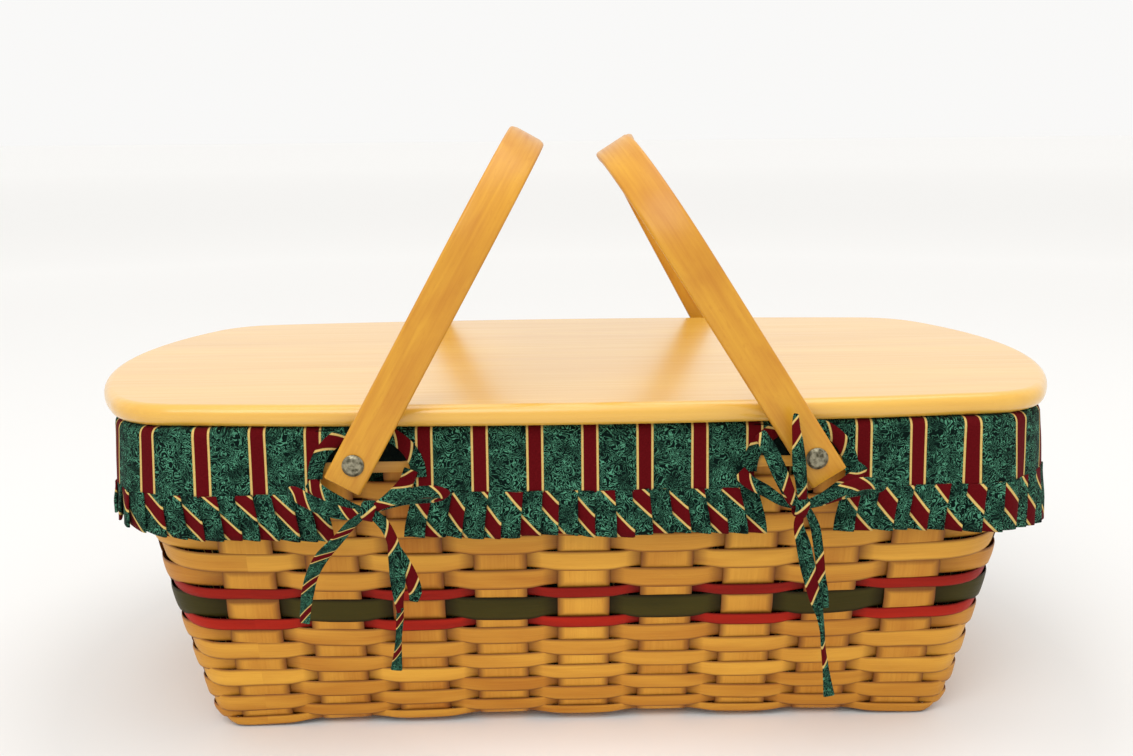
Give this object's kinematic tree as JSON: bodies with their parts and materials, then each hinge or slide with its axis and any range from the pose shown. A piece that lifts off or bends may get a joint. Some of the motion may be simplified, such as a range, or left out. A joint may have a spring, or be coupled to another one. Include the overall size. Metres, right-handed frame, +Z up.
{
  "type": "lidded basket",
  "caption": "Tapered woven splint basket with a lift-off rounded wood lid, two bent wood swing handles and a striped cloth liner with a pleated ruffle and tied bows.",
  "frame": {"origin": "centre of the base, on the surface that the basket stands on", "axes": "+X along the basket's length, -Y towards the front, +Z up"},
  "size_m": [0.603, 0.374, 0.3658],
  "materials": {
    "stake_wood": "satin splint",
    "weaver_wood": "satin splint",
    "weaver_green": "stained splint",
    "weaver_red": "stained splint",
    "rim_wood": "satin",
    "lid_wood": "satin lacquer",
    "handle_wood": "satin lacquer",
    "liner_cloth": "woven cotton",
    "skirt_cloth": "striped woven cotton",
    "ruffle_cloth": "striped woven cotton cut on the bias",
    "binding_cloth": "striped bias binding",
    "tie_cloth": "striped woven cotton",
    "steel": "dull"
  },
  "bodies": {
    "basket": {"cross_stake_1": "stake_wood", "cross_stake_2": "stake_wood", "cross_stake_3": "stake_wood", "cross_stake_4": "stake_wood", "cross_stake_5": "stake_wood", "cross_stake_6": "stake_wood", "cross_stake_7": "stake_wood", "cross_stake_8": "stake_wood", "cross_stake_9": "stake_wood", "long_stake_1": "stake_wood", "long_stake_2": "stake_wood", "long_stake_3": "stake_wood", "long_stake_4": "stake_wood", "long_stake_5": "stake_wood", "weaver_01": "weaver_wood", "weaver_02": "weaver_wood", "weaver_03": "weaver_wood", "weaver_04": "weaver_wood", "weaver_05": "weaver_wood", "weaver_06": "weaver_wood", "weaver_07": "weaver_wood", "weaver_08": "weaver_wood", "weaver_09": "weaver_wood", "weaver_10": "weaver_wood", "weaver_11": "weaver_wood", "weaver_12": "weaver_wood", "weaver_13": "weaver_wood", "weaver_14": "weaver_wood", "weaver_green": "weaver_green", "weaver_red_lower": "weaver_red", "weaver_red_upper": "weaver_red", "outer_rim_band": "rim_wood", "inner_rim_band": "rim_wood", "rim_tacks": "steel", "liner_bag": "liner_cloth", "front_skirt": "skirt_cloth", "front_ruffle": "ruffle_cloth", "back_skirt": "skirt_cloth", "back_ruffle": "ruffle_cloth", "left_skirt": "skirt_cloth", "left_ruffle": "ruffle_cloth", "right_skirt": "skirt_cloth", "right_ruffle": "ruffle_cloth", "front_left_binding": "binding_cloth", "front_left_bow": "tie_cloth", "front_right_binding": "binding_cloth", "front_right_bow": "tie_cloth", "back_right_binding": "binding_cloth", "back_right_bow": "tie_cloth", "back_left_binding": "binding_cloth", "back_left_bow": "tie_cloth", "pivot_rivets": "steel", "rivet_spacers": "steel", "rivet_burrs": "steel"},
    "left_handle": {"left_handle_strap": "handle_wood"},
    "right_handle": {"right_handle_strap": "handle_wood"},
    "lid": {"lid_board": "lid_wood", "left_lid_cleat": "lid_wood", "right_lid_cleat": "lid_wood", "lid_screws": "steel"}
  },
  "joints": [
    {"name": "left_handle_swing", "type": "hinge", "parent": "basket", "child": "left_handle", "pos_m": [-0.12625, 0, 0.186], "axis": [0, 1, 0], "range_deg": [-119, 3]},
    {"name": "right_handle_swing", "type": "hinge", "parent": "basket", "child": "right_handle", "pos_m": [0.12625, 0, 0.186], "axis": [0, -1, 0], "range_deg": [-122.4, 3]},
    {"name": "lid_lift", "type": "slide", "parent": "basket", "child": "lid", "axis": [0, 0, 1], "range_m": [0, 0.07]}
  ]
}
